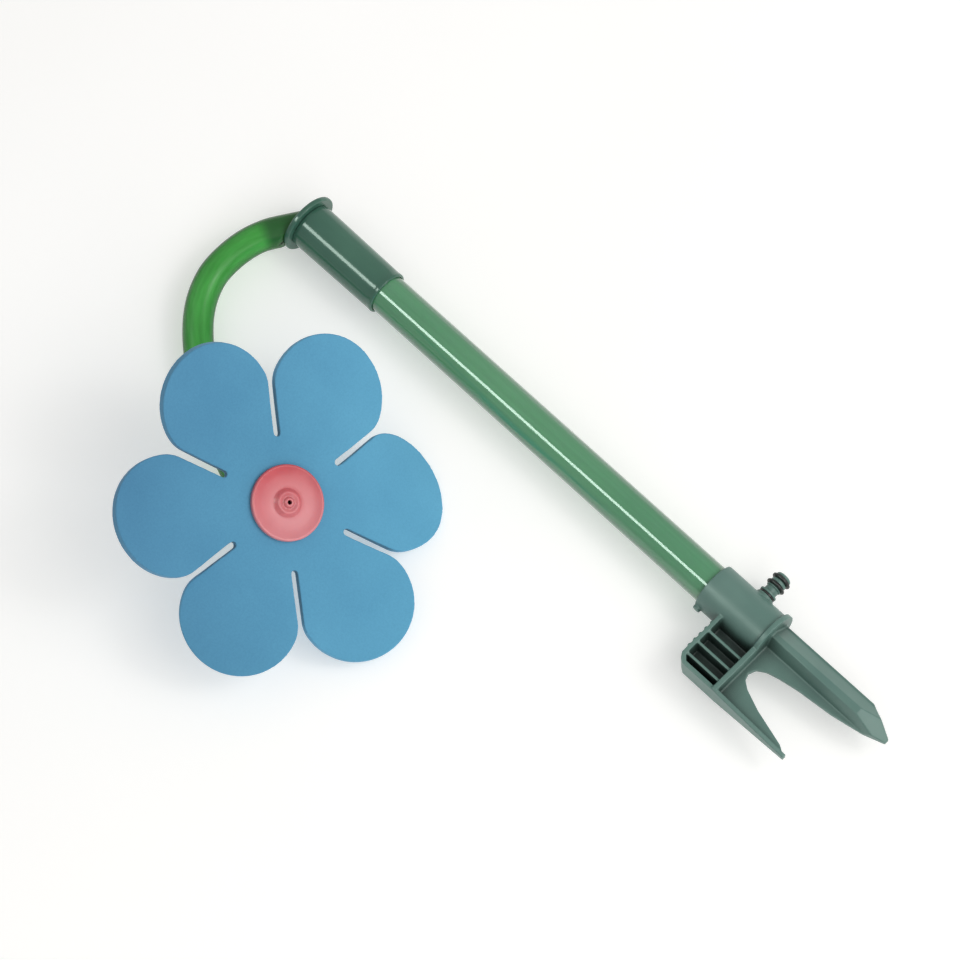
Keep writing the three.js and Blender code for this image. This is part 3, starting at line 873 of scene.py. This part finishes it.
def foam_sheet():
    """The flat flower, with its hub hole, in the face's own axes. The face is at z = 0."""
    curve = bpy.data.curves.new("flower_outline", "CURVE")
    curve.dimensions = "2D"
    curve.fill_mode = "BOTH"
    curve.extrude = FOAM_THICKNESS_MM * MM / 2
    for outline in (flower_outline(), hub_outline()):
        spline = curve.splines.new("POLY")
        spline.points.add(len(outline) - 1)
        for point, corner in zip(spline.points, outline):
            point.co = (corner.x * MM, corner.y * MM, 0, 1)
        spline.use_cyclic_u = True
    sheet = bpy.data.objects.new("flower_outline", curve)
    bpy.context.scene.collection.objects.link(sheet)
    depsgraph = bpy.context.evaluated_depsgraph_get()
    mesh = bpy.data.meshes.new_from_object(sheet.evaluated_get(depsgraph))
    bpy.data.objects.remove(sheet)
    bpy.data.curves.remove(curve)
    mesh.transform(Matrix.Translation((0, 0, -FOAM_THICKNESS_MM * MM / 2)))
    return mesh


def bent(point):
    """Where a point of the flat sheet lies once its petal has curled and twisted."""
    pitch = 2 * math.pi / PETALS
    heading = math.atan2(point.y, point.x) - PETAL_ROLL
    petal = round(heading / pitch) % PETALS
    axis_angle = PETAL_ROLL + petal * pitch
    axis = Vector((math.cos(axis_angle), math.sin(axis_angle), 0))
    side = Vector((-axis.y, axis.x, 0))
    along = point.dot(axis) - BEND_FROM_MM * MM
    across = point.dot(side)
    if along <= 0:
        return point
    curl, twist = (math.radians(value) for value in PETAL_SET[petal])
    length = PETAL_LENGTH_MM * MM
    twist_here = twist * smooth_step(along / length)
    level_across = across * math.cos(twist_here) + point.z * math.sin(twist_here)
    level_height = point.z * math.cos(twist_here) - across * math.sin(twist_here)
    radius = length / curl
    turn = along / radius
    reach = BEND_FROM_MM * MM + (radius + level_height) * math.sin(turn)
    height = (radius + level_height) * math.cos(turn) - radius
    return axis * reach + side * level_across + Vector((0, 0, height))


def build_flower():
    flower = skinned("flower_foam", foam_sheet(), FOAM, voxel_mm=0.6, passes=6)
    for vertex in flower.data.vertices:
        vertex.co = bent(vertex.co)
    flower.data.transform(FACE)
    settle(flower, HEAD, "flower")


# ---- nozzle -------------------------------------------------------------------------------------

# Heights here are above the flower's face, so that its back lies below zero.
FOAM_BACK_MM = -FOAM_THICKNESS_MM


def build_stem():
    """The barb in the hose's end, its flange behind the flower and the boss through the foam."""
    hose_end = (height_along("hose_upper", FACE_NORMAL) - FACE_LEVEL) / MM
    tail = hose_end - STEM_BARB_MM
    flange_back = hose_end + GAP_MM
    flange_front = FOAM_BACK_MM - 2.1
    bore, crest, neck, flange, boss, boss_top = 2.6, 5.8, 5.3, 15, 7, 2
    profile = [
        (bore, tail), (4.9, tail), (crest, hose_end - 9), (5.2, hose_end - 8.5), (crest, hose_end - 4),
        (neck, hose_end - 3.5), (neck, flange_back), (flange, flange_back), (flange, flange_front),
        (boss, flange_front), (boss, boss_top), (bore, boss_top),
    ]
    stem = turned("stem_moulding", profile, FACE, SOCKET_PLASTIC, 0.3)
    settle(stem, HEAD, "nozzle_stem")


def build_cap():
    """The dished cap: a rounded rim, a shallow dish, a ring wall in it and the outlet in a small boss."""
    outlet = 1.3
    underside = 3.6
    rim = 22.3
    profile = [
        (outlet, underside), (HUB_HOLE_MM, underside), (HUB_HOLE_MM, GAP_MM), (rim - 0.8, GAP_MM),
        (rim, 1.1), (rim, 3.2), (rim - 0.4, 3.9), (rim - 1.1, 4.1), (rim - 1.8, 3.9), (rim - 2.4, 3.5),
        (15.5, 2.7), (11, 2.2), (8.6, 2.3), (7.5, 3.6), (6.6, 5.1), (5.7, 5.3), (4.9, 5), (4.1, 4.6),
        (3.3, 4.6), (2.9, 5.6), (2.3, 6.2), (outlet, 6.2),
    ]
    cap = turned("cap_moulding", profile, FACE, CAP_PLASTIC, 0.25, 128)
    settle(cap, HEAD, "nozzle_cap")


def build_backing_washer():
    back, front, rim = FOAM_BACK_MM - 1.8, FOAM_BACK_MM - GAP_MM, 17
    profile = [(HUB_HOLE_MM, back), (rim, back), (rim, front), (HUB_HOLE_MM, front)]
    washer = turned("backing_disc", profile, FACE, WASHER_PLASTIC, 0.4)
    settle(washer, HEAD, "backing_washer")


# ---- CAD nodes that stay as they are ----------------------------------------------------------------

KEPT_NODES = {
    "inlet_gasket": BLACK_RUBBER,
    "riser_lower_seal": BLACK_RUBBER,
    "riser_upper_seal": BLACK_RUBBER,
    "swivel_o_ring": BLACK_RUBBER,
    "nozzle_seal": BLACK_RUBBER,
    "thrust_washer": WASHER_PLASTIC,
    "swivel_retaining_ring": SPRING_STEEL,
}


def finish_kept_nodes():
    for node, material in KEPT_NODES.items():
        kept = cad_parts[node]
        kept.data.materials.clear()
        kept.data.materials.append(material)


# ---- studio ---------------------------------------------------------------------------------------

FLOOR_DEPTH = 20 * MM  # how far the sheet lies behind the riser's axis at rest
MARKERS = 8
MARKER_ROOM_MM = 6  # how far outside the petals the markers are


def build_floor():
    """A wide pale sheet behind the object. It is seen from its front only, and it stays behind the
    flower head however the head is turned."""
    half = 3.0
    mesh = bpy.data.meshes.new("floor")
    corners = [(-half, 0, -half), (half, 0, -half), (half, 0, half), (-half, 0, half)]
    mesh.from_pydata(corners, [], [(0, 1, 2, 3)])
    floor = bpy.data.objects.new("floor", mesh)
    bpy.context.scene.collection.objects.link(floor)
    floor.location = (0, FLOOR_DEPTH, 0.25)
    floor.data.materials.append(studio_paper())
    keep_floor_behind(floor)


def keep_floor_behind(floor):
    """Drives the floor's depth by the deepest of the markers round the flower's edge."""
    driver = floor.driver_add("location", 1).driver
    driver.type = "SCRIPTED"
    reach = (LOBE_DISTANCE_MM + LOBE_RADIUS_MM + MARKER_ROOM_MM) * MM
    names = []
    for index in range(MARKERS):
        angle = 2 * math.pi * index / MARKERS
        marker = bpy.data.objects.new(f"edge_marker_{index}", None)
        bpy.context.scene.collection.objects.link(marker)
        marker.location = FACE @ (Vector((math.cos(angle), math.sin(angle), 0)) * reach)
        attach(marker, HEAD)
        variable = driver.variables.new()
        variable.name = f"edge{index}"
        variable.type = "TRANSFORMS"
        target = variable.targets[0]
        target.id = marker
        target.transform_type = "LOC_Y"
        target.transform_space = "WORLD_SPACE"
        names.append(variable.name)
    driver.expression = f"max({FLOOR_DEPTH}, {', '.join(names)})"


PAPER_GLOW = 0.37  # the sheet is lit a little from behind, which keeps its shadows pale


def studio_paper():
    """Matt near-white paper that is clear from behind, so that it never hides the object."""
    shader = Shader("studio_paper")
    tone = shader.noise(3.0, detail=2.0)
    base = shader.ramp(tone, "Fac", [(0.3, (0.76, 0.755, 0.745, 1)), (0.7, (0.79, 0.785, 0.78, 1))])
    shader.paint(base, "Color")
    shader.set(Roughness=0.9)
    sides = shader.add("ShaderNodeNewGeometry")
    clear = shader.add("ShaderNodeBsdfTransparent")
    choose = shader.add("ShaderNodeMixShader")
    shader.join(sides, "Backfacing", choose, "Fac")
    shader.join(shader.surface, "BSDF", choose, 1)
    shader.join(clear, "BSDF", choose, 2)
    shader.join(choose, "Shader", shader.output, "Surface")
    shader.set(Emission_Color=(1, 1, 0.99, 1), Emission_Strength=PAPER_GLOW)
    return shader.material


LIT_POINT = Vector((0, 0, 0.27))  # on the riser's axis, where every lamp points
LAMP_DISTANCE = 2.4
LAMP_TINT = (1, 0.99, 0.97)
STRIP_DISTANCE = 1.4
STRIP_TINT = (0.82, 1, 0.9)
AMBIENT = 0.49
BACKDROP = 0.97


def add_area(name, direction, distance, width, height, power, tint):
    """A rectangular lamp that stands off in direction from the lit point."""
    place = LIT_POINT + direction.normalized() * distance
    lamp = bpy.data.lights.new(name, "AREA")
    lamp.shape = "RECTANGLE"
    lamp.size = width
    lamp.size_y = height
    lamp.energy = power
    lamp.color = tint
    holder = bpy.data.objects.new(name, lamp)
    bpy.context.scene.collection.objects.link(holder)
    holder.location = place
    holder.rotation_mode = "QUATERNION"
    holder.rotation_quaternion = (LIT_POINT - place).to_track_quat("-Z", "Y")
    return holder


def build_lights():
    """A soft key from the lower right, a weaker soft fill from the lower left, a small crisp lamp
    beside the key for the creases, and a long strip that draws the bright line down the riser."""
    lamps = [
        ("key_softbox", Vector((0.26, -0.76, -0.58)), 1.8, 21.0),
        ("crease_lamp", Vector((0.34, -0.77, -0.54)), 0.5, 5.0),
        ("fill_softbox", Vector((-0.29, -0.62, -0.73)), 0.9, 5.0),
    ]
    for name, direction, side, power in lamps:
        add_area(name, direction, LAMP_DISTANCE, side, side, power, LAMP_TINT)
    strip_direction = Vector((-0.502, -0.813, 0.295))
    strip = add_area("strip_light", strip_direction, STRIP_DISTANCE, 0.3, 1.2, 12.0, STRIP_TINT)
    strip.visible_diffuse = False


def build_world():
    """Soft light from all round, and a near-white backdrop where the camera sees past the floor."""
    world = bpy.data.worlds.new("studio")
    bpy.context.scene.world = world
    world.use_nodes = True
    tree = world.node_tree
    tree.nodes.clear()
    output = tree.nodes.new("ShaderNodeOutputWorld")
    choose = tree.nodes.new("ShaderNodeMixShader")
    path = tree.nodes.new("ShaderNodeLightPath")
    for socket, strength in ((1, AMBIENT), (2, BACKDROP)):
        background = tree.nodes.new("ShaderNodeBackground")
        background.inputs["Color"].default_value = (1.0, 0.995, 0.985, 1)
        background.inputs["Strength"].default_value = strength
        tree.links.new(background.outputs["Background"], choose.inputs[socket])
    tree.links.new(path.outputs["Is Camera Ray"], choose.inputs["Fac"])
    tree.links.new(choose.outputs["Shader"], output.inputs["Surface"])


CAMERA_AIM = Vector((-51.3, -21.3, 272.0)) * MM
CAMERA_DISTANCE = 2036.9 * MM
CAMERA_VIEW = math.radians(15.53)  # the width of its field of view
CAMERA_AZIMUTH = math.radians(13.28)  # turned from -Y towards -X
CAMERA_ELEVATION = math.radians(-17.15)
CAMERA_ROLL = math.radians(47.7)


def build_camera():
    """The camera stands in front of the object, to its left and below it, and is rolled."""
    data = bpy.data.cameras.new("camera")
    data.angle = CAMERA_VIEW
    data.clip_end = 20
    camera = bpy.data.objects.new("camera", data)
    bpy.context.scene.collection.objects.link(camera)
    outwards = Vector((
        -math.sin(CAMERA_AZIMUTH) * math.cos(CAMERA_ELEVATION),
        -math.cos(CAMERA_AZIMUTH) * math.cos(CAMERA_ELEVATION),
        math.sin(CAMERA_ELEVATION),
    ))
    level_right = Vector((0, 0, 1)).cross(outwards).normalized()
    level_up = outwards.cross(level_right)
    up = level_up * math.cos(CAMERA_ROLL) + level_right * math.sin(CAMERA_ROLL)
    right = up.cross(outwards)
    place = CAMERA_AIM + outwards * CAMERA_DISTANCE
    camera.matrix_world = axes_matrix(right, up, outwards, place)
    bpy.context.scene.camera = camera


# ---- assembly -----------------------------------------------------------------------------------

build_stake()
build_inlet()
build_riser()
build_socket()
spine_line = build_hose()
build_swivel(spine_line)
build_flower()
build_stem()
build_cap()
build_backing_washer()
finish_kept_nodes()
build_floor()
build_lights()
build_world()
build_camera()
bpy.context.scene.view_settings.view_transform = "Standard"
